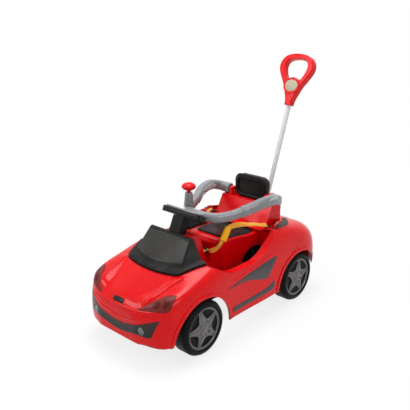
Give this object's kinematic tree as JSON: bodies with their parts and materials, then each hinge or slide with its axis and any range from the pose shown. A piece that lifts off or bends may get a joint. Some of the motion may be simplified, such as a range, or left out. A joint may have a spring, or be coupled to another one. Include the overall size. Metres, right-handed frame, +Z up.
{
  "type": "push car with handle",
  "caption": "Toddler ride-on push car with a hollow moulded sports body, saddle seat, guard ring, working steering linkage and a removable parent push handle.",
  "frame": {"origin": "on the floor, under the middle of the whole outline", "axes": "+Z up, -Y towards the car's front, +X towards its left side"},
  "size_m": [0.3784, 0.8786, 0.8035],
  "materials": {
    "red_plastic": "glossy moulded",
    "dark_plastic": "satin moulded",
    "black_plastic": "satin moulded",
    "wheel_black": "moulded tread",
    "grey_plastic": "silver-grey moulded",
    "steel": "plain bar",
    "rod_paint": "pale grey paint",
    "webbing": "woven webbing",
    "buckle_yellow": "moulded"
  },
  "bodies": {
    "car": {"body_shell": "red_plastic", "windscreen_cowl": "dark_plastic", "seat_tub": "red_plastic", "seat_panel": "black_plastic", "backrest": "red_plastic", "headrest": "black_plastic", "chassis_plate": "black_plastic", "body_screws": "steel", "front_axle_beam": "black_plastic", "kingpins": "steel", "rear_axle": "steel", "rear_bearing_blocks": "black_plastic", "rear_axle_spacers": "black_plastic", "rear_axle_nuts": "steel", "column_tower": "dark_plastic", "shaft_bearing": "black_plastic", "guard_bracket": "dark_plastic", "rod_socket": "black_plastic", "rod_collar": "dark_plastic", "belt_left": "webbing", "belt_right": "webbing", "belt_buckle": "buckle_yellow", "pommel_anchor": "black_plastic", "rear_belt_anchors": "black_plastic"},
    "steering": {"steering_shaft": "steel", "steering_wheel": "dark_plastic", "steering_top_plate": "grey_plastic"},
    "tie_rod": {"tie_rod": "black_plastic"},
    "left_knuckle": {"left_knuckle": "black_plastic", "front_left_axle_nut": "steel"},
    "right_knuckle": {"right_knuckle": "black_plastic", "front_right_axle_nut": "steel"},
    "front_left": {"front_left_wheel": "wheel_black", "front_left_trim": "grey_plastic"},
    "front_right": {"front_right_wheel": "wheel_black", "front_right_trim": "grey_plastic"},
    "rear_left": {"rear_left_wheel": "wheel_black", "rear_left_trim": "grey_plastic"},
    "rear_right": {"rear_right_wheel": "wheel_black", "rear_right_trim": "grey_plastic"},
    "guard": {"guard_ring": "grey_plastic", "horn_post": "grey_plastic"},
    "knob": {"horn_knob": "red_plastic"},
    "push_handle": {"push_rod": "rod_paint", "handle_front": "red_plastic", "handle_rear": "red_plastic", "handle_screws": "steel"}
  },
  "joints": [
    {"name": "steering_turn", "type": "hinge", "parent": "car", "child": "steering", "pos_m": [0, -0.16819, 0.366], "axis": [0, 0.4226, 0.9063], "range_deg": [-28, 28]},
    {"name": "tie_rod_slide", "type": "slide", "parent": "car", "child": "tie_rod", "axis": [1, 0, 0], "range_m": [-0.0215, 0.0215]},
    {"name": "left_knuckle_turn", "type": "hinge", "parent": "car", "child": "left_knuckle", "pos_m": [0.11, -0.2682, 0.084], "axis": [0, 0, 1], "range_deg": [-21, 21]},
    {"name": "right_knuckle_turn", "type": "hinge", "parent": "car", "child": "right_knuckle", "pos_m": [-0.11, -0.2682, 0.084], "axis": [0, 0, 1], "range_deg": [-21, 21]},
    {"name": "front_left_spin", "type": "hinge", "parent": "left_knuckle", "child": "front_left", "pos_m": [0.154, -0.2682, 0.084], "axis": [1, 0, 0], "continuous": true},
    {"name": "front_right_spin", "type": "hinge", "parent": "right_knuckle", "child": "front_right", "pos_m": [-0.154, -0.2682, 0.084], "axis": [1, 0, 0], "continuous": true},
    {"name": "rear_left_spin", "type": "hinge", "parent": "car", "child": "rear_left", "pos_m": [0.154, 0.1998, 0.084], "axis": [1, 0, 0], "continuous": true},
    {"name": "rear_right_spin", "type": "hinge", "parent": "car", "child": "rear_right", "pos_m": [-0.154, 0.1998, 0.084], "axis": [1, 0, 0], "continuous": true},
    {"name": "guard_lift", "type": "slide", "parent": "car", "child": "guard", "axis": [0, 0, 1], "range_m": [0, 0.05]},
    {"name": "knob_press", "type": "slide", "parent": "guard", "child": "knob", "axis": [0, 0, -1], "range_m": [0, 0.006], "stiffness_N_per_m": 600, "springref_m": -0.003},
    {"name": "push_handle_draw", "type": "slide", "parent": "car", "child": "push_handle", "axis": [0, 0.3322, 0.9432], "range_m": [0, 0.14]}
  ],
  "couplings": [
    {"joint": "tie_rod_slide", "follows": "steering_turn", "m_per_rad": 0.0438},
    {"joint": "left_knuckle_turn", "follows": "steering_turn", "ratio": 0.75},
    {"joint": "right_knuckle_turn", "follows": "steering_turn", "ratio": 0.75}
  ]
}
